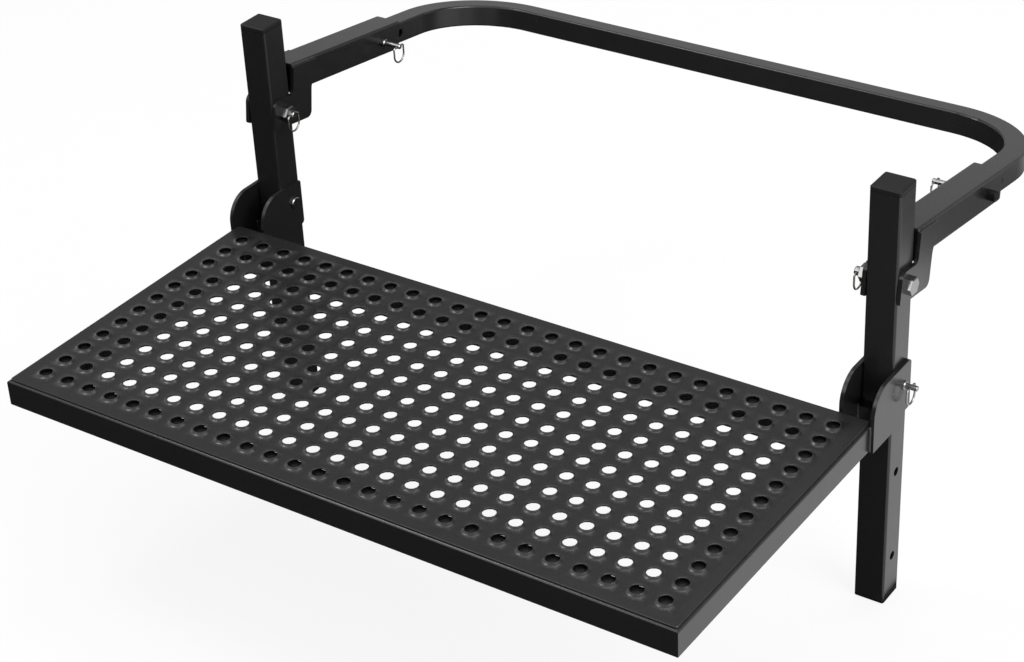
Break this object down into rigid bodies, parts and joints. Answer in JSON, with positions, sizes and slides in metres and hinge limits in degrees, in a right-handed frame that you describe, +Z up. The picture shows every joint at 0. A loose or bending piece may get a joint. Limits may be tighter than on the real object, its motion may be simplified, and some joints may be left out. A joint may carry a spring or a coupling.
{
  "type": "tire step",
  "caption": "Folding step that hangs over a vehicle tire: a perforated platform hinged on square posts, with an adjustable loop that hooks behind the tire.",
  "frame": {"origin": "midway between the posts, on the plane of their back faces, level with the top of the tread", "axes": "+X to the right seen from the platform's front, +Y back towards the tire, +Z up"},
  "size_m": [0.794, 0.7768, 0.46],
  "materials": {
    "black_coat": "satin black powder coat",
    "tread_coat": "satin black powder coat on pressed sheet",
    "cap_plastic": "moulded black plastic",
    "grip_plastic": "moulded black plastic",
    "zinc_plate": "bright zinc plate"
  },
  "bodies": {
    "posts": {"left_post": "black_coat", "left_post_top_cap": "cap_plastic", "left_post_foot_cap": "cap_plastic", "right_post": "black_coat", "right_post_top_cap": "cap_plastic", "right_post_foot_cap": "cap_plastic"},
    "platform": {"tread_plate": "tread_coat", "front_rail": "black_coat", "rear_rail": "black_coat", "left_rail": "black_coat", "left_outer_ear": "black_coat", "left_inner_ear": "black_coat", "left_stop_bar": "black_coat", "left_hinge_pin": "zinc_plate", "right_rail": "black_coat", "right_outer_ear": "black_coat", "right_inner_ear": "black_coat", "right_stop_bar": "black_coat", "right_hinge_pin": "zinc_plate"},
    "loop": {"tire_loop": "black_coat", "left_sleeve": "black_coat", "left_outer_bracket": "black_coat", "left_inner_bracket": "black_coat", "left_loop_bolt": "zinc_plate", "left_loop_nut": "zinc_plate", "left_width_pin": "zinc_plate", "left_width_grip": "grip_plastic", "right_sleeve": "black_coat", "right_outer_bracket": "black_coat", "right_inner_bracket": "black_coat", "right_loop_bolt": "zinc_plate", "right_loop_nut": "zinc_plate", "right_width_pin": "zinc_plate", "right_width_grip": "grip_plastic"},
    "left_hinge_ring": {"left_hinge_ring": "zinc_plate"},
    "right_hinge_ring": {"right_hinge_ring": "zinc_plate"},
    "left_loop_ring": {"left_loop_ring": "zinc_plate"},
    "right_loop_ring": {"right_loop_ring": "zinc_plate"},
    "left_width_ring": {"left_width_ring": "zinc_plate"},
    "right_width_ring": {"right_width_ring": "zinc_plate"}
  },
  "joints": [
    {"name": "platform_fold", "type": "hinge", "parent": "posts", "child": "platform", "pos_m": [0, -0.01588, 0.0105], "axis": [-1, 0, 0], "range_deg": [0, 80]},
    {"name": "loop_fold", "type": "hinge", "parent": "posts", "child": "loop", "pos_m": [0, -0.01588, 0.119], "axis": [-1, 0, 0], "range_deg": [-8, 82]},
    {"name": "left_hinge_ring_swing", "type": "hinge", "parent": "platform", "child": "left_hinge_ring", "pos_m": [-0.39, -0.01588, 0.0105], "axis": [0, 1, 0], "range_deg": [-15, 120]},
    {"name": "right_hinge_ring_swing", "type": "hinge", "parent": "platform", "child": "right_hinge_ring", "pos_m": [0.39, -0.01588, 0.0105], "axis": [0, -1, 0], "range_deg": [-15, 120]},
    {"name": "left_loop_ring_swing", "type": "hinge", "parent": "loop", "child": "left_loop_ring", "pos_m": [-0.33175, -0.01588, 0.119], "axis": [0, -1, 0], "range_deg": [-8, 120]},
    {"name": "right_loop_ring_swing", "type": "hinge", "parent": "loop", "child": "right_loop_ring", "pos_m": [0.33175, -0.01588, 0.119], "axis": [0, 1, 0], "range_deg": [-8, 120]},
    {"name": "left_width_ring_swing", "type": "hinge", "parent": "loop", "child": "left_width_ring", "pos_m": [-0.32375, 0.16291, 0.12669], "axis": [0, -1, 0], "range_deg": [-40, 120]},
    {"name": "right_width_ring_swing", "type": "hinge", "parent": "loop", "child": "right_width_ring", "pos_m": [0.32375, 0.16291, 0.12669], "axis": [0, 1, 0], "range_deg": [-40, 120]}
  ]
}
